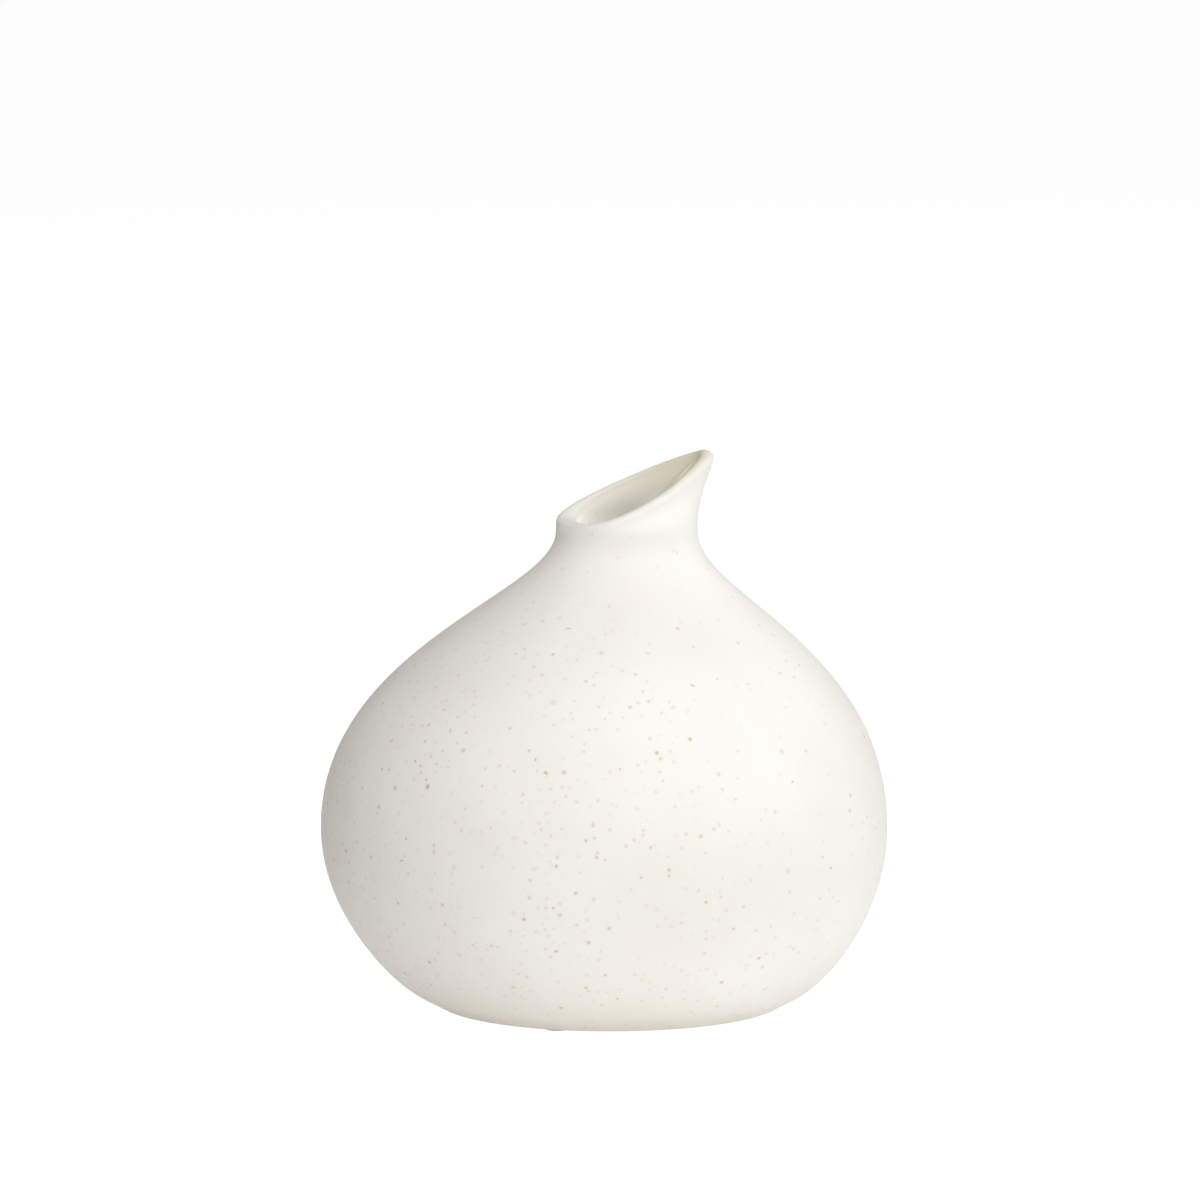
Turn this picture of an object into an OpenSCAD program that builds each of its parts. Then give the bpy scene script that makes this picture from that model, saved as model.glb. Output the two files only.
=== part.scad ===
// Round ceramic bud vase with a short off-centre neck and a slanted, pinched lip.
// +Z is up, the spout points along +X, and the vase is the same on both sides of the XZ plane.
// The origin is on the table, under the middle of the belly.

/* [Belly] */
// Widest diameter of the round belly
belly_d = 120; // [100:1:150]
// Height of the widest circle above the foot's underside
belly_h = 37.5; // [32:0.5:50]
// Fullness of the shoulder, as the pull of its curve above the widest circle
shoulder_pull = 38.5; // [28:0.5:46]
// Fullness of the underside, as the pull of its curve below the widest circle
underside_pull = 17; // [12:0.5:24]

/* [Foot] */
// Outer diameter of the foot where it meets the table
foot_d = 72.5; // [60:0.5:84]
// Height of the bare foot ring
foot_h = 2.5; // [1.5:0.1:4]
// Width of the foot ring's flat underside
foot_w = 8; // [5:0.5:14]
// Distance of the foot's centre from the belly's, towards the spout
foot_shift = 1.3; // [0:0.1:3]
// Angle of the foot's flank above the table, in degrees
foot_flare = 28; // [20:1:45]
// Pull of the underside's curve where it leaves the foot
foot_pull = 7.5; // [5:0.5:16]

/* [Neck] */
// Height of the neck's narrowest ring above the foot's underside
waist_h = 100.5; // [80:0.5:122]
// Diameter of the neck's narrowest ring
waist_d = 30; // [24:0.5:38]
// Distance of the neck's centre from the belly's, towards the spout
neck_shift = 5.2; // [0:0.1:8]
// Pull of the shoulder's curve where it runs into the neck
neck_pull = 14; // [8:0.5:18]

/* [Lip] */
// Length of the mouth from its low back edge to the spout
mouth_l = 32; // [28:0.5:38]
// Width of the mouth's outline before the spout is pinched
mouth_w = 31.5; // [26:0.5:38]
// Distance of the mouth's middle from the belly's axis, towards the spout
mouth_shift = 6.8; // [3:0.1:12]
// Share of the mouth's width that the pinch takes away at the spout
pinch = 0.4; // [0.1:0.05:0.6]
// How quickly the pinch fades towards the back
pinch_fade = 1.15; // [1:0.05:3]
// Extra reach of the spout's beak
beak = 2.3; // [0:0.1:3]
// Rise of the lip's outer edge above the waist, at the low back
lip_low = 2; // [1:0.1:6]
// Rise of the lip's outer edge above the waist, at the spout
lip_high = 14.6; // [8:0.1:24]
// How quickly the lip's rise gathers towards the spout
lip_gather = 1.45; // [1:0.05:2]
// Lean of the neck's flare towards the spout, as run over rise
lip_lean = 0.27; // [0:0.01:0.4]
// Thickness of the rounded lip along its two sides
lip_t = 2.4; // [1.8:0.1:3.2]
// Thickness of the lip at its broad low back
lip_back_t = 5; // [2.4:0.1:6]
// Thickness of the lip at the blunt end of the spout
lip_tip_t = 3.2; // [2.4:0.1:5]

/* [Shell] */
// Thickness of the fired wall
wall = 3.4; // [2.6:0.1:4.5]
// Thickness of the wall at the neck's narrowest ring
neck_wall = 7.2; // [5:0.1:8]
// Thickness of the vase's floor
floor_t = 4.5; // [3:0.1:7]
// Thickness of the glossy liner glaze
glaze_t = 0.4; // [0.3:0.05:0.8]
// Drop along the outside from the lip's low edge to where the glaze ends inside
glaze_drop = 10; // [6:0.5:30]

/* [Pads] */
// Diameter of one pad
pad_d = 6; // [4:0.1:8]
// Thickness of one pad
pad_t = 0.6; // [0.4:0.1:1.5]

/* [Hidden] */
$fn = 96;
pads = 4;           // pads under the foot ring
sides = 48;         // points around one ring of the shell
underside_rows = 9; // rings from the foot ring to the belly
shoulder_rows = 13; // rings from the belly to the glaze's edge
throat_rows = 5;    // rings from the glaze's edge to the waist
flare_rows = 6;     // rings from the waist to the lip's outer edge
lip_rows = 6;       // steps around the lip's rounded top
lip_turn = 180;     // degrees that the lip turns through along its sides and at the spout
back_turn = 130;    // degrees that it turns through at its back, before it slopes into the neck
step_u = 0.5;       // step in degrees used to find the surface's slope around the vase
step_v = 0.005;     // step used to find the surface's slope along a meridian
beak_sharpness = 8; // power that keeps the beak close to the spout
back_square = 0.14; // share of the mouth's half length by which its back is squared
neck_swell = 8;     // power that keeps the thicker wall close to the neck
back_swell = 3;     // power that keeps the lip's broad back close to the back
tip_swell = 6;      // power that keeps the lip's blunt end close to the spout
flare_pull_low = 0.5;  // share of the flare's rise over which it leaves the waist upright
flare_pull_high = 0.43; // share of the flare's rise over which it runs into the lip

foot_z = pad_t;                 // underside of the foot ring
base_z = foot_z + foot_h;       // underside of the stoneware body
belly_z = foot_z + belly_h;
waist_z = foot_z + waist_h;
floor_z = base_z + floor_t;     // top of the stoneware floor
base_r = foot_d / 2 + foot_h / tan(foot_flare);
glaze_z = waist_z + lip_low - glaze_drop;
pad_ring_r = (foot_d - foot_w) / 2;

// A point on a cubic curve, from its two ends and their two pulls
function curve(a, b, c, d, t) =
    pow(1 - t, 3) * a + 3 * pow(1 - t, 2) * t * b + 3 * (1 - t) * t * t * c + pow(t, 3) * d;

// The four rings that the surface passes through, each at angle u from the spout
function base_ring(u) = [foot_shift + base_r * cos(u), base_r * sin(u), base_z];
function belly_ring(u) = [belly_d / 2 * cos(u), belly_d / 2 * sin(u), belly_z];
function waist_ring(u) = [neck_shift + waist_d / 2 * cos(u), waist_d / 2 * sin(u), waist_z];
// Share of the way to the spout, from 0 at the mouth's back to 1 at the spout
function spout(u) = (1 + cos(u)) / 2;
function mouth_x(u) = cos(u) - back_square * pow(sin(u) * (1 - spout(u)), 2);
function rise(u) = lip_low + (lip_high - lip_low) * pow(spout(u), lip_gather);
function lip_ring(u) = [
    mouth_shift + mouth_l / 2 * mouth_x(u) + beak * pow(spout(u), beak_sharpness),
    mouth_w / 2 * sin(u) * (1 - pinch * pow(spout(u), pinch_fade)),
    waist_z + rise(u)
];

// The outside of the vase: v runs from 0 at the base to 1 at the belly, 2 at the waist and 3 at the lip
function underside(u, t) = curve(
    base_ring(u),
    base_ring(u) + foot_pull * [cos(foot_flare) * cos(u), cos(foot_flare) * sin(u), sin(foot_flare)],
    belly_ring(u) - [0, 0, underside_pull],
    belly_ring(u),
    t);
function shoulder(u, t) = curve(
    belly_ring(u),
    belly_ring(u) + [0, 0, shoulder_pull],
    waist_ring(u) - [0, 0, neck_pull],
    waist_ring(u),
    t);
function flare(u, t) = curve(
    waist_ring(u),
    waist_ring(u) + [0, 0, flare_pull_low * rise(u)],
    lip_ring(u) - flare_pull_high * rise(u) * [lip_lean, 0, 1],
    lip_ring(u),
    t);
function outside(u, v) = v < 1 ? underside(u, v) : v < 2 ? shoulder(u, v - 1) : flare(u, v - 2);

function unit(a) = a / norm(a);
function around(u, v) = outside(u + step_u, v) - outside(u - step_u, v);
function along(u, v) = outside(u, min(v + step_v, 3)) - outside(u, max(v - step_v, 0));
function outward(u, v) = unit(cross(around(u, v), along(u, v)));

// The lip is thickest at its back and at the spout, and the wall thickens towards the neck
function lip_at(u) = lip_t
    + (lip_back_t - lip_t) * pow(1 - spout(u), back_swell)
    + (lip_tip_t - lip_t) * pow(spout(u), tip_swell);
function wall_at(u, v) =
    v < 1 ? wall
    : v < 2 ? wall + (neck_wall - wall) * pow(sin(90 * (v - 1)), neck_swell)
    : lip_at(u) + (neck_wall - lip_at(u)) * cos(90 * (v - 2));
// A surface at a depth inside the wall, kept above a flat floor
function inside(u, v, depth, lowest) =
    let (p = outside(u, v) - depth * outward(u, v)) [p[0], p[1], max(p[2], lowest)];
// The lip's rounded top: turned runs from 0 at its outer edge to 1 where it meets the inner wall
function lip(u, turned) =
    let (out = outward(u, 3), up = unit(cross(out, around(u, 3))),
        a = turned * (lip_turn + (back_turn - lip_turn) * pow(1 - spout(u), back_swell)))
    lip_ring(u) + lip_at(u) / 2 * (cos(a) - 1) * out + lip_t / 2 * sin(a) * up;

// The place along the shoulder whose height is z, found by halving
function shoulder_at(z, low = 1, high = 2, n = 24) =
    n == 0 ? low
    : let (mid = (low + high) / 2)
      outside(90, mid)[2] < z ? shoulder_at(z, mid, high, n - 1) : shoulder_at(z, low, mid, n - 1);
glaze_v = shoulder_at(glaze_z);

function steps(low, high, n) = [for (i = [1:n]) low + (high - low) * i / n];
function reversed(list) = [for (i = [len(list) - 1:-1:0]) list[i]];
angles = [for (i = [0:sides - 1]) 360 * i / sides];
rows_glazed = concat([0], steps(0, 1, underside_rows), steps(1, glaze_v, shoulder_rows));
rows_bare = concat(steps(glaze_v, 2, throat_rows), steps(2, 3, flare_rows));
rows_all = concat(rows_glazed, rows_bare);

// A quad's two facets: the diagonal starts at its lower ring, so touching skins have the same facets
function quad(a, b, c, d, climbs) = climbs ? [[a, b, d], [a, d, c]] : [[a, b, c], [c, b, d]];
// Twice the height of a ring, taken at its front and its back
function level(ring) = ring[0][2] + ring[sides / 2][2];

// A closed solid from a stack of rings, with a flat cap on its first and last ring
module ring_stack(rings) {
    last = len(rings) - 1;
    sheet = [for (j = [0:last - 1], i = [0:sides - 1])
        let (k = (i + 1) % sides, low = j * sides, high = low + sides)
        quad(low + i, high + i, low + k, high + k, level(rings[j + 1]) > level(rings[j]))];
    first_cap = [for (i = [0:sides - 1]) i];
    last_cap = [for (i = [sides - 1:-1:0]) last * sides + i];
    polyhedron(
        points = [for (ring = rings, p = ring) p],
        faces = concat([for (pair = sheet, face = pair) face], [first_cap, last_cap]));
}

module stoneware_body() {
    outer = [for (v = rows_all) [for (u = angles) outside(u, v)]];
    rim = [for (i = [1:lip_rows - 1]) [for (u = angles) lip(u, i / lip_rows)]];
    inner = [for (v = reversed(rows_all)) [for (u = angles) inside(u, v, wall_at(u, v), floor_z)]];
    color([0.91, 0.90, 0.85]) ring_stack(concat(outer, rim, inner));
}

module foot_ring() {
    color([0.84, 0.79, 0.71]) translate([foot_shift, 0, foot_z])
        rotate_extrude() polygon([
            [foot_d / 2 - foot_w, 0],
            [foot_d / 2, 0],
            [base_r, foot_h],
            [foot_d / 2 - foot_w, foot_h]
        ]);
}

module liner_glaze() {
    against = [for (v = rows_glazed) [for (u = angles) inside(u, v, wall_at(u, v), floor_z)]];
    wet = [for (v = reversed(rows_glazed))
        [for (u = angles) inside(u, v, wall_at(u, v) + glaze_t, floor_z + glaze_t)]];
    color([0.93, 0.92, 0.86]) ring_stack(concat(against, wet));
}

module foot_pad(number) {
    color([0.90, 0.90, 0.88]) translate([foot_shift, 0, 0])
        rotate([0, 0, 360 * (number - 0.5) / pads])
            translate([pad_ring_r, 0, 0]) cylinder(d = pad_d, h = pad_t);
}

stoneware_body();
foot_ring();
liner_glaze();
for (number = [1:pads])
    foot_pad(number);
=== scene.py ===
"""Looks of the ceramic bud vase: speckled stoneware, bare foot, glossy liner and foot pads."""

import math

import bpy
import numpy as np
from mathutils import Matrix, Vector


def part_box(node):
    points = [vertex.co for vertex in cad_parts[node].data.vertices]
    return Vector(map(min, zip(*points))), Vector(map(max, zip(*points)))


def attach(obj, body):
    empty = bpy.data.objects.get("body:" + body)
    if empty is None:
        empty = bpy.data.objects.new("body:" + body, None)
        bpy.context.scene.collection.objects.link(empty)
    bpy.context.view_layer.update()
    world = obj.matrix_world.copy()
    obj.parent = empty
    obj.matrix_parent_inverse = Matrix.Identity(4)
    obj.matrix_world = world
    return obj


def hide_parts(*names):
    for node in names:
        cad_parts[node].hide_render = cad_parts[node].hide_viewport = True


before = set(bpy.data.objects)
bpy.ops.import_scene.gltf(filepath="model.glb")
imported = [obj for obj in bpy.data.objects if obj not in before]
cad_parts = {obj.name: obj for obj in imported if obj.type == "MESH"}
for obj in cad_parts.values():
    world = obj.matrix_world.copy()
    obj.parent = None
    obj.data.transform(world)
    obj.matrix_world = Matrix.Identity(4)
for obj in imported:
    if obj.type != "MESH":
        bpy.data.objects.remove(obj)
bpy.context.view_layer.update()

MM = 0.001

# ---------------------------------------------------------------- sizes taken from the CAD frame

body_low, body_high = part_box("stoneware_body")
ring_low, ring_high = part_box("foot_ring")
liner_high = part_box("liner_glaze")[1]
PAD_NODES = [f"foot_pad_{number}" for number in range(1, 5)]
pad_boxes = [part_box(node) for node in PAD_NODES]

belly_r = (body_high.x - body_low.x) / 2
foot_z = ring_low.z
base_z = ring_high.z
base_r = (ring_high.x - ring_low.x) / 2
foot_shift = (ring_high.x + ring_low.x) / 2

# ---------------------------------------------------------------- the vase's own shape, as in the design

foot_r = 36.25 * MM
foot_w = 8 * MM
foot_flare = math.radians(28)    # how far the foot's outer edge leans out
foot_pull = 7.5 * MM             # how long the curve keeps that lean
underside_pull = 17 * MM         # fullness just below the belly
belly_z = foot_z + 37.5 * MM
shoulder_pull = 38.5 * MM        # fullness just above the belly
waist_z = foot_z + 100.5 * MM    # the narrowest place of the neck
waist_r = 15 * MM
neck_shift = 5.2 * MM            # the neck's middle, towards the spout
neck_pull = 14 * MM
mouth_l = 32 * MM
mouth_w = 31.5 * MM
mouth_shift = 6.8 * MM
pinch = 0.4                      # how much narrower the mouth is at the spout
pinch_fade = 1.15
beak = 2.3 * MM                  # how far the spout's tip reaches past the oval
beak_sharpness = 8
back_square = 0.14               # flatness of the mouth's back
lip_low = 2 * MM                 # height of the lip above the waist at the back
lip_high = 14.6 * MM             # and at the spout
lip_gather = 1.45
lip_lean = 0.27
lip_t = 2.4 * MM                 # thickness of the lip at the sides
lip_back_t = 5 * MM
lip_tip_t = 3.2 * MM
back_swell = 3                   # powers that keep the thicker lip close to the back and the tip
tip_swell = 6
lip_turn = math.pi               # how far round the lip's section goes before the inner wall
back_turn = math.radians(130)
flare_pull_low = 0.5
flare_pull_high = 0.43
wall = 3.4 * MM
neck_wall = 7.2 * MM
neck_swell = 8                   # power that keeps the thicker wall close to the neck
floor_z = base_z + 4.5 * MM
floor_corner = 1.6 * MM          # softness of the corner between the inner wall and the floor
glaze_t = 0.4 * MM

SIDES = 192
ANGLES = np.linspace(0, 2 * math.pi, SIDES, endpoint=False)
UP = np.array([0.0, 0.0, 1.0])
STEP_U = math.radians(0.5)       # steps for finding the surface's direction
STEP_V = 0.005


def ring_points(x, y, z):
    """One or more rings of points from arrays that broadcast together."""
    x, y, z = np.broadcast_arrays(x, y, z)
    return np.stack([x, y, z], axis=-1)


def curve(a, b, c, d, t):
    """A cubic Bezier curve."""
    return (1 - t) ** 3 * a + 3 * (1 - t) ** 2 * t * b + 3 * (1 - t) * t * t * c + t ** 3 * d


def base_ring(u):
    return ring_points(foot_shift + base_r * np.cos(u), base_r * np.sin(u), base_z)


def belly_ring(u):
    return ring_points(belly_r * np.cos(u), belly_r * np.sin(u), belly_z)


def waist_ring(u):
    return ring_points(neck_shift + waist_r * np.cos(u), waist_r * np.sin(u), waist_z)


def spout(u):
    """0 at the mouth's low back, 1 at the spout."""
    return (1 + np.cos(u)) / 2


def rise(u):
    """Height of the lip above the waist."""
    return lip_low + (lip_high - lip_low) * spout(u) ** lip_gather


def lip_ring(u):
    squared = np.cos(u) - back_square * (np.sin(u) * (1 - spout(u))) ** 2
    x = mouth_shift + mouth_l / 2 * squared + beak * spout(u) ** beak_sharpness
    y = mouth_w / 2 * np.sin(u) * (1 - pinch * spout(u) ** pinch_fade)
    return ring_points(x, y, waist_z + rise(u))


def outside(u, v):
    """The outer surface at angle u: v is 0 at the base, 1 at the belly, 2 at the waist, 3 at the lip."""
    if v < 1:
        leaving = ring_points(
            math.cos(foot_flare) * np.cos(u), math.cos(foot_flare) * np.sin(u), math.sin(foot_flare))
        start, end = base_ring(u), belly_ring(u)
        return curve(start, start + foot_pull * leaving, end - underside_pull * UP, end, v)
    if v < 2:
        start, end = belly_ring(u), waist_ring(u)
        return curve(start, start + shoulder_pull * UP, end - neck_pull * UP, end, v - 1)
    start, end = waist_ring(u), lip_ring(u)
    climb = rise(u)[:, None]
    leaving = flare_pull_low * climb * UP
    arriving = flare_pull_high * climb * np.array([lip_lean, 0.0, 1.0])
    return curve(start, start + leaving, end - arriving, end, v - 2)


def unit(a):
    return a / np.linalg.norm(a, axis=-1, keepdims=True)


def around(u, v):
    """The direction along a ring."""
    return outside(u + STEP_U, v) - outside(u - STEP_U, v)


def outward(u, v):
    """The direction straight out of the surface."""
    along = outside(u, min(v + STEP_V, 3)) - outside(u, max(v - STEP_V, 0))
    return unit(np.cross(around(u, v), along))


def lip_at(u):
    """Thickness of the lip."""
    broad = (lip_back_t - lip_t) * (1 - spout(u)) ** back_swell
    blunt = (lip_tip_t - lip_t) * spout(u) ** tip_swell
    return (lip_t + broad + blunt)[:, None]


def wall_at(u, v):
    """Thickness of the wall: even up to the belly, thicker in the neck, and the lip's own at the top."""
    if v < 1:
        return wall
    if v < 2:
        return wall + (neck_wall - wall) * math.sin(math.pi / 2 * (v - 1)) ** neck_swell
    return lip_at(u) + (neck_wall - lip_at(u)) * math.cos(math.pi / 2 * (v - 2))


def inside(u, v, depth, lowest):
    """The surface at a depth inside the wall, eased into a flat floor."""
    p = outside(u, v) - depth * outward(u, v)
    gap = p[..., 2] - lowest
    p[..., 2] = lowest + (gap + np.sqrt(gap * gap + floor_corner ** 2)) / 2
    return p


def lip(u, turned):
    """The lip's rounded top: 0 at its outer edge, 1 where it meets the inner wall."""
    out = outward(u, 3)
    up = unit(np.cross(out, around(u, 3)))
    angle = turned * (lip_turn + (back_turn - lip_turn) * (1 - spout(u)) ** back_swell)[:, None]
    return lip_ring(u) + lip_at(u) / 2 * (np.cos(angle) - 1) * out + lip_t / 2 * np.sin(angle) * up


# ---------------------------------------------------------------- meshes

ROWS_OUT = (44, 64, 34)          # rows from the base to the belly, to the waist and to the lip
ROWS_IN = (28, 44, 26)
LIP_STEPS = np.linspace(0, 1, 14)[1:-1]
FLOOR_SHARES = np.linspace(1, 0, 12)[1:-1]
BASE_RINGS = 84
BASE_HUB = 0.6 * MM              # radius of the innermost ring under the base
ARC_STEPS = 8

UNDULATION = 0.12 * MM           # how far the hand-finished surface dips at most
UNDULATION_SIZE = 26 * MM
UNDULATION_SEED = 11
GROOVE = 0.07 * MM               # depth of the turning marks under the base
GROOVE_PITCH = 2.1 * MM
GROOVE_FADE = 3 * MM


def rows(*counts):
    """Places along the surface, so many from each whole number to the next."""
    parts = [np.linspace(k, k + 1, count) for k, count in enumerate(counts)]
    return np.concatenate(parts[:1] + [part[1:] for part in parts[1:]])


def waves(points, seed, size, count=24):
    """Smooth noise between 0 and 1 from a few seeded waves, each about one size long."""
    rng = np.random.default_rng(seed)
    direction = unit(rng.normal(size=(count, 3)))
    pitch = 2 * math.pi / (size * rng.uniform(0.7, 1.6, count))
    phase = rng.uniform(0, 2 * math.pi, count)
    total = np.cos(points @ (direction * pitch[:, None]).T + phase).sum(axis=-1)
    return 0.5 + 0.5 * np.tanh(total / math.sqrt(count))


def make_piece(name, points, faces, sides, sharp_rings):
    """A smooth-shaded object, with its edges sharp along the given rings of points."""
    mesh = bpy.data.meshes.new(name)
    mesh.from_pydata(points.tolist(), [], faces)
    mesh.validate()
    mesh.shade_smooth()
    if sharp_rings:
        sharp = set()
        for j in sharp_rings:
            sharp |= {frozenset((j * sides + i, j * sides + (i + 1) % sides)) for i in range(sides)}
        flags = mesh.attributes.new("sharp_edge", "BOOLEAN", "EDGE")
        flags.data.foreach_set("value", [frozenset(edge.vertices) in sharp for edge in mesh.edges])
    piece = bpy.data.objects.new(name, mesh)
    bpy.context.scene.collection.objects.link(piece)
    return piece


def stack_mesh(name, rings, sharp_rings=()):
    """A closed mesh from a stack of rings, with a pole at the middle of its first and last ring."""
    rings = np.asarray(rings)
    count, sides = rings.shape[:2]
    points = rings.reshape(-1, 3)
    poles = np.array([rings[0].mean(axis=0), rings[-1].mean(axis=0)])
    first_pole, last_pole = len(points), len(points) + 1
    i = np.arange(sides)
    k = (i + 1) % sides
    faces = []
    for j in range(count - 1):
        low, high = j * sides, (j + 1) * sides
        faces += np.stack([low + i, low + k, high + k, high + i], axis=1).tolist()
    faces += np.stack([np.full(sides, first_pole), k, i], axis=1).tolist()
    top = (count - 1) * sides
    faces += np.stack([top + i, top + k, np.full(sides, last_pole)], axis=1).tolist()
    return make_piece(name, np.vstack([points, poles]), faces, sides, sharp_rings)


def loop_mesh(name, rings, sharp_rings):
    """A closed tube-like mesh whose last ring joins its first."""
    count, sides = rings.shape[:2]
    i = np.arange(sides)
    k = (i + 1) % sides
    faces = []
    for j in range(count):
        low, high = j * sides, ((j + 1) % count) * sides
        faces += np.stack([low + k, low + i, high + i, high + k], axis=1).tolist()
    return make_piece(name, rings.reshape(-1, 3), faces, sides, sharp_rings)


def disc_rings(centre, radii, heights):
    """Level circles about one upright axis."""
    return [ring_points(centre[0] + r * np.cos(ANGLES), centre[1] + r * np.sin(ANGLES), z)
            for r, z in zip(radii, heights)]


def shrunk_rings(ring, shares):
    """Copies of a level ring drawn in towards its middle."""
    middle = ring.mean(axis=0)
    return [middle + share * (ring - middle) for share in shares]


def base_marks(radii):
    """Heights of the trimmed base: shallow turned grooves inside the foot ring."""
    inner = foot_r - foot_w
    fade = np.clip((inner - radii) / GROOVE_FADE, 0, 1)
    return base_z + fade * GROOVE * (0.5 - 0.5 * np.cos(2 * math.pi * radii / GROOVE_PITCH))


def make_body():
    """The fired shell: base, outside, lip, inner wall and floor as one closed skin."""
    outer_rows = rows(*ROWS_OUT)[1:]
    inner_rows = rows(*ROWS_IN)[::-1]
    base_radii = np.concatenate([np.linspace(BASE_HUB, foot_r - foot_w, BASE_RINGS), [foot_r, base_r]])
    rings = disc_rings((foot_shift, 0), base_radii, base_marks(base_radii))
    corner = len(rings) - 1
    rings += [outside(ANGLES, v) for v in outer_rows]
    last_out = len(rings) - 1
    rings += [lip(ANGLES, turned) for turned in LIP_STEPS]
    rings += [inside(ANGLES, v, wall_at(ANGLES, v), floor_z) for v in inner_rows]
    rings += shrunk_rings(rings[-1], FLOOR_SHARES)
    rings = np.array(rings)
    rings[..., 2] = np.minimum(rings[..., 2], body_high.z)
    # the finished surface dips a little between high spots, and never stands proud of the form
    for j, v in enumerate(outer_rows, start=corner + 1):
        ease = min(1, v / 0.25) * min(1, (3 - v) / 0.3)
        dip = UNDULATION * ease * waves(rings[j], UNDULATION_SEED, UNDULATION_SIZE)
        rings[j] -= dip[:, None] * outward(ANGLES, v)
    piece = stack_mesh("stoneware_body_shell", rings, sharp_rings=[corner])
    # how far round the lip each ring is: 0 outside, 1 inside; the poles are the base's and the floor's; it
    # masks the painted light and shade inside the mouth
    lining = np.clip((np.arange(len(rings)) - last_out) / (len(LIP_STEPS) + 1), 0, 1)
    share = piece.data.attributes.new("lining", "FLOAT", "POINT")
    share.data.foreach_set("value", np.append(np.repeat(lining, SIDES), [0, 1]))
    return piece


def arc(centre, radius, start, end, count):
    """Points of a circular arc in (radius, height), with angles in degrees."""
    turn = np.radians(np.linspace(start, end, count))
    return [(centre[0] + radius * math.cos(a), centre[1] + radius * math.sin(a)) for a in turn]


def make_ring():
    """The bare foot ring: its edges are softened, and a cove joins it to the base."""
    inner = foot_r - foot_w
    soft = 0.9 * MM
    cove = 1.1 * MM
    span = 0.8 * MM  # distance between rings, so that the clay's grain has points to hold it
    flank = math.degrees(foot_flare)
    reach = soft * math.tan(foot_flare / 2)
    outline = [(base_r, base_z)]
    outline += arc((foot_r - reach, foot_z + soft), soft, flank - 90, -90, ARC_STEPS)
    outline += arc((inner + soft, foot_z + soft), soft, -90, -180, ARC_STEPS)
    outline += arc((inner - cove, base_z - cove), cove, 0, 90, ARC_STEPS)
    spread = []
    for (r0, z0), (r1, z1) in zip(outline[:-1], outline[1:]):
        parts = max(1, round(math.hypot(r1 - r0, z1 - z0) / span))
        for share in np.arange(parts) / parts:
            spread.append((r0 + share * (r1 - r0), z0 + share * (z1 - z0)))
    spread += [outline[-1], (foot_r, base_z)]
    rings = disc_rings((foot_shift, 0), [r for r, z in spread], [z for r, z in spread])
    last = len(rings) - 1
    return loop_mesh("foot_ring_clay", np.array(rings), sharp_rings=[0, last - 1, last])


def shoulder_at(z):
    """The place along the shoulder whose height is z, found by halving."""
    low, high = 1.0, 2.0
    for _ in range(24):
        mid = (low + high) / 2
        side = np.array([math.pi / 2])
        if inside(side, mid, wall_at(side, mid), floor_z)[0, 2] < z:
            low = mid
        else:
            high = mid
    return low


def make_liner():
    """The glaze skin: it thins out to nothing at its edge in the neck and pools in the floor's corner."""
    top = shoulder_at(liner_high.z)
    below, above = ROWS_IN[:2]
    places = np.concatenate([np.linspace(0, 1, below), np.linspace(1, top, above)[1:]])
    edge = np.clip((top - places) / 0.05, 0, 1)
    depth = glaze_t * (0.12 + 0.88 * np.sin(edge * math.pi / 2))
    against = [inside(ANGLES, v, wall_at(ANGLES, v), floor_z) for v in places]
    wet = [inside(ANGLES, v, wall_at(ANGLES, v) + t, floor_z + glaze_t) for v, t in zip(places, depth)]
    floor_back = shrunk_rings(against[0], FLOOR_SHARES)
    floor_wet = shrunk_rings(wet[0], FLOOR_SHARES)
    rings = floor_back[::-1] + against + wet[::-1] + floor_wet
    return stack_mesh("liner_glaze_skin", rings)


def make_pad(number, low, high):
    """A small moulded bumper: flat where it is stuck on, and domed down to a small flat foot."""
    centre = ((low.x + high.x) / 2, (low.y + high.y) / 2)
    radius = (high.x - low.x) / 2
    flat = radius * 0.55
    outline = [(share * flat, low.z) for share in (0.05, 0.4, 0.75)]
    for turn in np.linspace(0, math.pi / 2, 10):
        bulge = (radius - flat) * math.sin(turn)
        drop = (high.z - low.z) * math.cos(turn)
        outline.append((flat + bulge, high.z - drop))
    edge = len(outline) - 1
    outline += [(radius * share, high.z) for share in (0.6, 0.1)]
    rings = disc_rings(centre, [r for r, z in outline], [z for r, z in outline])
    rings = [ring[::4] for ring in rings]
    return stack_mesh(f"foot_pad_{number}_bumper", rings, sharp_rings=[edge])


# ---------------------------------------------------------------- materials


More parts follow.
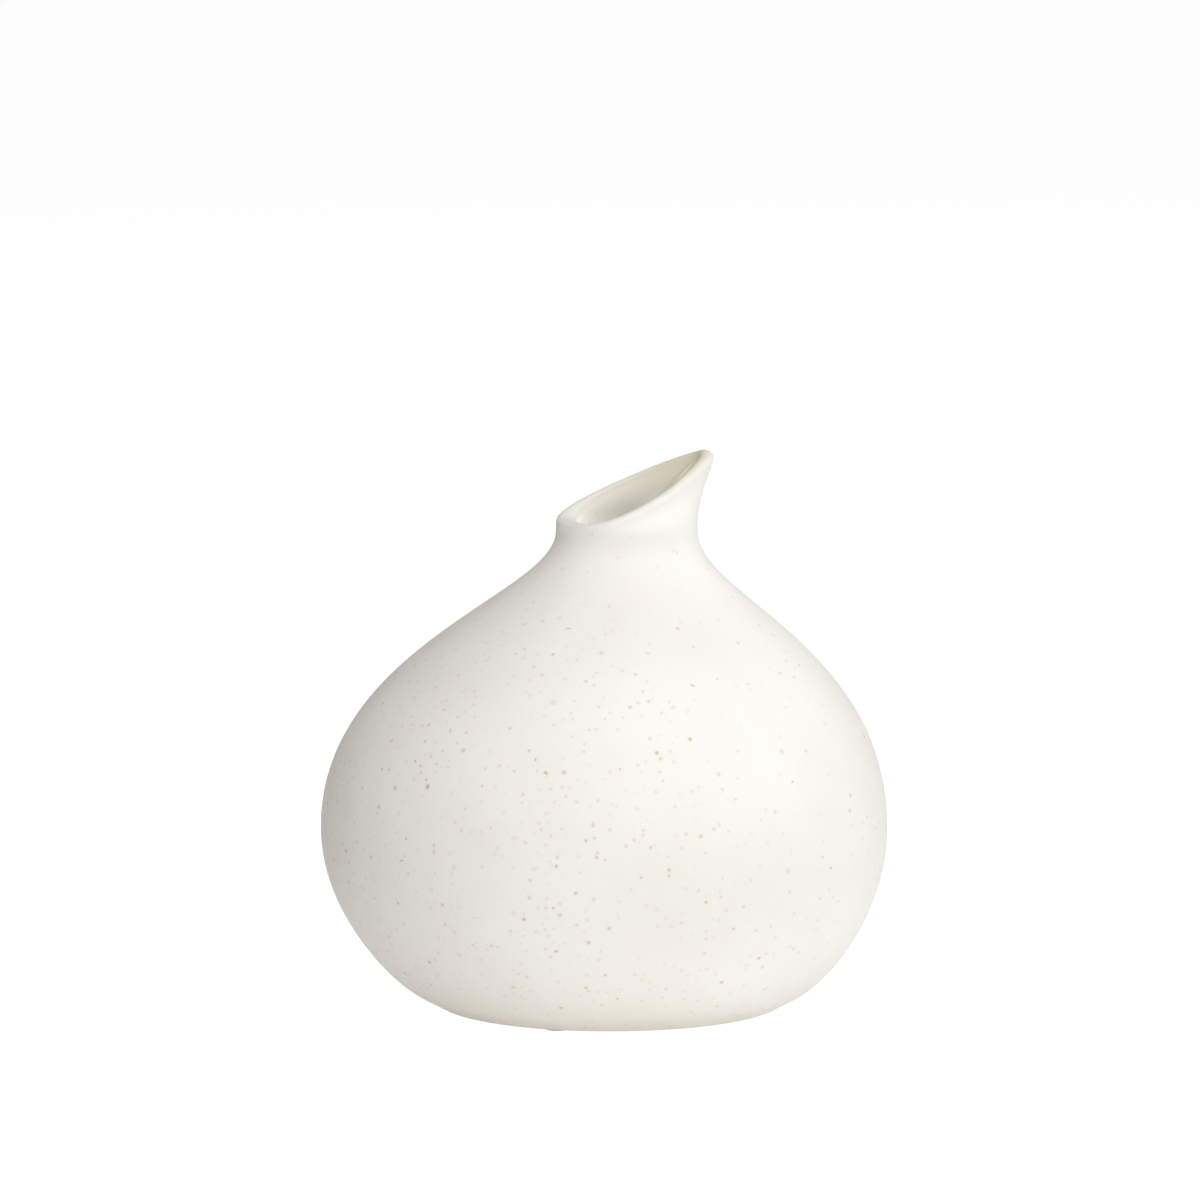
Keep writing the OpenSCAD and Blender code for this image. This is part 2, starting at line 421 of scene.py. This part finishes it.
class Nodes:
    """Short calls for building one material's nodes."""

    def __init__(self, name):
        self.material = bpy.data.materials.new(name)
        self.material.use_nodes = True
        self.tree = self.material.node_tree
        self.tree.nodes.clear()
        self.output = self.tree.nodes.new("ShaderNodeOutputMaterial")
        self.shader = self.tree.nodes.new("ShaderNodeBsdfPrincipled")
        self.link(self.shader.outputs[0], self.output.inputs[0])
        self.place = self.tree.nodes.new("ShaderNodeTexCoord").outputs["Object"]

    def link(self, a, b):
        self.tree.links.new(a, b)

    def put(self, socket, value):
        """Links a socket, or sets its value."""
        if hasattr(value, "is_linked"):
            self.link(value, socket)
        else:
            socket.default_value = value

    def math(self, operation, *values, clamp=False):
        node = self.tree.nodes.new("ShaderNodeMath")
        node.operation = operation
        node.use_clamp = clamp
        for socket, value in zip(node.inputs, values):
            self.put(socket, value)
        return node.outputs[0]

    def remap(self, value, low, high, to_low, to_high):
        node = self.tree.nodes.new("ShaderNodeMapRange")
        for socket, item in zip(node.inputs, (value, low, high, to_low, to_high)):
            self.put(socket, item)
        return node.outputs[0]

    def noise(self, size, detail=2.0, roughness=0.5):
        node = self.tree.nodes.new("ShaderNodeTexNoise")
        self.link(self.place, node.inputs["Vector"])
        node.inputs["Scale"].default_value = 1 / size
        node.inputs["Detail"].default_value = detail
        node.inputs["Roughness"].default_value = roughness
        return node.outputs["Fac"]

    def cells(self, size, offset):
        """Scattered points: the distance to the nearest, and three random numbers that belong to it."""
        shift = self.tree.nodes.new("ShaderNodeVectorMath")
        shift.operation = "ADD"
        self.link(self.place, shift.inputs[0])
        shift.inputs[1].default_value = (offset, offset * 0.7, offset * 1.3)
        node = self.tree.nodes.new("ShaderNodeTexVoronoi")
        self.link(shift.outputs[0], node.inputs["Vector"])
        node.inputs["Scale"].default_value = 1 / size
        split = self.tree.nodes.new("ShaderNodeSeparateColor")
        self.link(node.outputs["Color"], split.inputs[0])
        metres = self.math("MULTIPLY", node.outputs["Distance"], size)
        return metres, split.outputs[0], split.outputs[1], split.outputs[2]

    def mix(self, factor, a, b):
        node = self.tree.nodes.new("ShaderNodeMix")
        node.data_type = "RGBA"
        self.put(node.inputs["Factor"], factor)
        self.put(node.inputs[6], a)
        self.put(node.inputs[7], b)
        return node.outputs[2]

    def ramp(self, factor, stops):
        node = self.tree.nodes.new("ShaderNodeValToRGB")
        self.put(node.inputs[0], factor)
        points = node.color_ramp.elements
        while len(points) < len(stops):
            points.new(0.5)
        for point, (position, colour) in zip(points, stops):
            point.position = position
            point.color = colour
        return node.outputs[0]

    def bump(self, height, distance, strength=1.0, normal=None):
        node = self.tree.nodes.new("ShaderNodeBump")
        node.inputs["Strength"].default_value = strength
        node.inputs["Distance"].default_value = distance
        self.link(height, node.inputs["Height"])
        if normal is not None:
            self.link(normal, node.inputs["Normal"])
        return node.outputs[0]

    def given(self, name):
        """A value that the mesh holds at its points."""
        node = self.tree.nodes.new("ShaderNodeAttribute")
        node.attribute_name = name
        return node.outputs["Fac"]

    def along(self, axis):
        """The place along one axis, in metres."""
        split = self.tree.nodes.new("ShaderNodeSeparateXYZ")
        self.link(self.place, split.inputs[0])
        return split.outputs[axis]


def srgb(red, green, blue):
    """A colour given as 0 to 255 display values, as the linear values that a shader takes."""
    linear = [((c / 255 + 0.055) / 1.055) ** 2.4 if c > 10 else c / 255 / 12.92 for c in (red, green, blue)]
    return (*linear, 1.0)


# size of a cell, smallest and largest radius of its speck, share of cells that hold one, offset
SPECK_LAYERS = [
    (1.9 * MM, 0.30 * MM, 0.50 * MM, 0.58, 0.013),
    (3.1 * MM, 0.38 * MM, 0.60 * MM, 0.46, 0.047),
    (7.5 * MM, 0.50 * MM, 0.75 * MM, 0.25, 0.081),
]


def speckled(name, cream_low, cream_high, roughness):
    """Matte stoneware with iron specks, most faint and a few strong.

    They gather in clusters and thin out towards the spout's side and on the neck. The lining of the
    mouth has painted light and shade: near white low down, and painted darker and warmer towards the
    spout's tip.
    """
    n = Nodes(name)
    shoulder_z = belly_z + 38 * MM
    clay = n.mix(n.remap(n.noise(34 * MM, 3.0), 0.35, 0.65, 0, 1), cream_low, cream_high)
    # painted light and shade: the mouth's lining is painted near white low down, brighter than the outside,
    # and painted darker and warmer towards the spout's tip
    towards_tip = n.remap(n.along(2), waist_z, body_high.z, 0, 1)
    lining_painted_light_and_shade = n.mix(towards_tip, srgb(251, 248, 240), srgb(218, 208, 182))
    clay = n.mix(n.given("lining"), clay, lining_painted_light_and_shade)
    clusters = n.remap(n.noise(15 * MM, 1.0), 0.36, 0.62, 0.45, 1.3)
    thinning = n.remap(n.along(0), -belly_r * 0.8, belly_r * 0.6, 1.55, 0.3)
    on_neck = n.remap(n.along(2), shoulder_z, waist_z, 1.0, 0.3)
    share_here = n.math("MULTIPLY", n.math("MULTIPLY", clusters, thinning), on_neck)
    faint = n.remap(n.along(2), shoulder_z, waist_z, 1.0, 0.6)
    colour = clay
    relief = None
    for size, smallest, largest, share, offset in SPECK_LAYERS:
        distance, pick, width, tone = n.cells(size, offset)
        limit = n.math("MULTIPLY", share_here, share)
        present = n.math("MULTIPLY", n.math("LESS_THAN", pick, limit), faint)
        rank = n.math("DIVIDE", pick, limit, clamp=True)
        strength = n.math("MULTIPLY", n.math("POWER", rank, 8.0), 0.3)
        strength = n.math("ADD", strength, n.math("MULTIPLY_ADD", rank, 0.12, 0.09))
        radius = n.remap(width, 0, 1, smallest, largest)
        inside_by = n.math("SUBTRACT", radius, distance)
        core = n.math("MULTIPLY", n.remap(inside_by, 0, 0.2 * MM, 0, 1), present)
        halo = n.math("MULTIPLY", n.remap(inside_by, -0.3 * MM, 0.05 * MM, 0, 0.3), present)
        iron = n.ramp(tone, [
            (0.0, srgb(140, 116, 72)),
            (0.3, srgb(200, 144, 66)),
            (0.55, srgb(126, 120, 84)),
            (0.8, srgb(150, 122, 74)),
            (1.0, srgb(206, 148, 72)),
        ])
        colour = n.mix(n.math("MULTIPLY", halo, strength), colour, srgb(214, 180, 118))
        mark = n.math("MULTIPLY", core, strength)
        colour = n.mix(mark, colour, iron)
        relief = mark if relief is None else n.math("MAXIMUM", relief, mark)
    n.link(colour, n.shader.inputs["Base Color"])
    matte = n.remap(n.noise(9 * MM, 2.0), 0.3, 0.7, roughness - 0.05, roughness + 0.05)
    n.link(n.math("SUBTRACT", matte, n.math("MULTIPLY", relief, 0.3)), n.shader.inputs["Roughness"])
    grain = n.bump(n.noise(0.9 * MM, 3.0, 0.6), 0.02 * MM)
    soft = n.bump(n.noise(6 * MM, 1.0), 0.05 * MM, normal=grain)
    n.link(n.bump(relief, -0.05 * MM, normal=soft), n.shader.inputs["Normal"])
    n.shader.inputs["Specular IOR Level"].default_value = 0.35
    return n.material


def liner_material():
    """Glossy clear glaze over the same clay: smooth, a little pooled in tone."""
    n = Nodes("liner_glaze_gloss")
    tone = n.remap(n.noise(18 * MM, 2.0), 0.35, 0.65, 0, 1)
    n.link(n.mix(tone, srgb(232, 228, 212), srgb(240, 237, 224)), n.shader.inputs["Base Color"])
    n.link(n.remap(n.noise(4 * MM, 2.0), 0.3, 0.7, 0.10, 0.18), n.shader.inputs["Roughness"])
    n.link(n.bump(n.noise(5 * MM, 1.0), 0.06 * MM), n.shader.inputs["Normal"])
    n.shader.inputs["Coat Weight"].default_value = 0.6
    n.shader.inputs["Coat Roughness"].default_value = 0.08
    return n.material


def pad_material():
    """Frosted, nearly clear moulded rubber."""
    n = Nodes("pad_rubber_frosted")
    tone = n.remap(n.noise(2 * MM, 2.0), 0.35, 0.65, 0, 1)
    n.link(n.mix(tone, srgb(238, 238, 234), srgb(246, 246, 243)), n.shader.inputs["Base Color"])
    n.link(n.remap(n.noise(0.7 * MM, 2.0), 0.3, 0.7, 0.5, 0.65), n.shader.inputs["Roughness"])
    n.link(n.bump(n.noise(0.5 * MM, 2.0), 0.01 * MM), n.shader.inputs["Normal"])
    n.shader.inputs["Transmission Weight"].default_value = 0.7
    return n.material


def dress(piece, material, slot, *nodes):
    piece.data.materials.append(material)
    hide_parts(*nodes)
    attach(piece, "root")


stoneware = speckled("stoneware_matte", srgb(244, 240, 230), srgb(247, 245, 237), 0.62)
clay = speckled("foot_clay_bare", srgb(244, 239, 229), srgb(248, 244, 235), 0.74)

dress(make_body(), stoneware, "speckled_stoneware", "stoneware_body")
dress(make_ring(), clay, "bare_clay", "foot_ring")
dress(make_liner(), liner_material(), "liner_glaze", "liner_glaze")
rubber = pad_material()
for number, (low, high) in enumerate(pad_boxes, start=1):
    dress(make_pad(number, low, high), rubber, "pad_rubber", f"foot_pad_{number}")

# ---------------------------------------------------------------- floor, light and camera

COOL = (0.985, 1.0, 1.03)        # the lamps' own tint
WARM = (1.02, 1.0, 1.0)          # the tint of the light that the studio sends back
AMBER = (1.03, 1.0, 0.95)        # the tint of the weak lamp on the shaded side
FLOOR_REACH = 6.0
FLOOR_COLOUR = (231, 231, 232)
FLOOR_GLOW = 0.24
FLOOR_WHITE = 1.25
FLOOR_EVENNESS = 0.7             # share of plain white in what the camera sees of the floor
STUDIO_FILL = 0.05
BACKDROP_WHITE = 0.98
LAMP_DISTANCE = 1.2
LAMP_SIZE = 1.12
CAMERA_AIM = Vector((-0.001, 0.0, 0.0867))
CAMERA_AZIMUTH = -25.0
CAMERA_ELEVATION = 8.2
CAMERA_DISTANCE = 2.595
LENS = 369
SENSOR = 36
FAR_CLIP = 50


def toward(azimuth, elevation):
    """A direction from the vase: azimuth 0 is -Y, and it grows towards +X; both in degrees."""
    a, e = math.radians(azimuth), math.radians(elevation)
    return Vector((math.sin(a) * math.cos(e), -math.cos(a) * math.cos(e), math.sin(e)))


def soft_box(name, azimuth, elevation, brightness, tint=COOL):
    """A round soft box that faces the vase; its brightness is in the same units as the world's."""
    light = bpy.data.lights.new(name, "AREA")
    light.shape = "DISK"
    light.size = LAMP_SIZE
    light.energy = brightness * (math.pi * LAMP_SIZE / 2) ** 2
    light.color = tint
    lamp = bpy.data.objects.new(name, light)
    away = toward(azimuth, elevation)
    lamp.location = Vector((0, 0, body_high.z / 2)) + away * LAMP_DISTANCE
    lamp.rotation_mode = "QUATERNION"
    lamp.rotation_quaternion = away.to_track_quat("Z", "Y")
    lamp.visible_camera = False
    bpy.context.scene.collection.objects.link(lamp)


def make_floor():
    """A wide white floor, which the camera sees nearly evenly lit, with a trace of the vase's shadow."""
    mesh = bpy.data.meshes.new("studio_floor")
    corners = [(x * FLOOR_REACH, y * FLOOR_REACH, 0) for x, y in ((-1, -1), (1, -1), (1, 1), (-1, 1))]
    mesh.from_pydata(corners, [], [(0, 1, 2, 3)])
    floor = bpy.data.objects.new("studio_floor", mesh)
    bpy.context.scene.collection.objects.link(floor)
    n = Nodes("studio_floor_white")
    n.shader.inputs["Base Color"].default_value = srgb(*FLOOR_COLOUR)
    n.shader.inputs["Roughness"].default_value = 0.9
    n.shader.inputs["Specular IOR Level"].default_value = 0.0
    n.shader.inputs["Emission Color"].default_value = (*WARM, 1.0)
    n.shader.inputs["Emission Strength"].default_value = FLOOR_GLOW
    white = n.tree.nodes.new("ShaderNodeEmission")
    white.inputs["Strength"].default_value = FLOOR_WHITE
    seen = n.tree.nodes.new("ShaderNodeLightPath").outputs["Is Camera Ray"]
    blend = n.tree.nodes.new("ShaderNodeMixShader")
    n.link(n.math("MULTIPLY", seen, FLOOR_EVENNESS), blend.inputs[0])
    n.link(n.shader.outputs[0], blend.inputs[1])
    n.link(white.outputs[0], blend.inputs[2])
    n.link(blend.outputs[0], n.output.inputs[0])
    mesh.materials.append(n.material)


def make_world():
    """A dim studio that only fills the darks; wherever the camera sees it, it is a plain pale backdrop."""
    world = bpy.data.worlds.new("studio")
    world.use_nodes = True
    tree = world.node_tree
    tree.nodes.clear()
    output = tree.nodes.new("ShaderNodeOutputWorld")
    seen = tree.nodes.new("ShaderNodeLightPath").outputs["Is Camera Ray"]
    dim = tree.nodes.new("ShaderNodeBackground")
    dim.inputs["Color"].default_value = (*WARM, 1.0)
    dim.inputs["Strength"].default_value = STUDIO_FILL
    pale = tree.nodes.new("ShaderNodeBackground")
    pale.inputs["Strength"].default_value = BACKDROP_WHITE
    blend = tree.nodes.new("ShaderNodeMixShader")
    tree.links.new(seen, blend.inputs[0])
    tree.links.new(dim.outputs[0], blend.inputs[1])
    tree.links.new(pale.outputs[0], blend.inputs[2])
    tree.links.new(blend.outputs[0], output.inputs[0])
    bpy.context.scene.world = world


def make_camera():
    """A long lens, a little above the belly."""
    data = bpy.data.cameras.new("camera")
    camera = bpy.data.objects.new("camera", data)
    back = toward(CAMERA_AZIMUTH, CAMERA_ELEVATION)
    data.lens = LENS
    data.sensor_width = SENSOR
    data.clip_end = FAR_CLIP
    camera.location = CAMERA_AIM + back * CAMERA_DISTANCE
    camera.rotation_mode = "QUATERNION"
    camera.rotation_quaternion = back.to_track_quat("Z", "Y")
    bpy.context.scene.collection.objects.link(camera)
    bpy.context.scene.camera = camera


make_floor()
make_world()
soft_box("front_key", -5, 20, 2.05)
soft_box("overhead", -25, 80, 2.2)
soft_box("right_rim", 85, 20, 1.75)
soft_box("left_top", -55, 55, 0.9, tint=AMBER)
make_camera()
bpy.context.scene.view_settings.view_transform = "Standard"
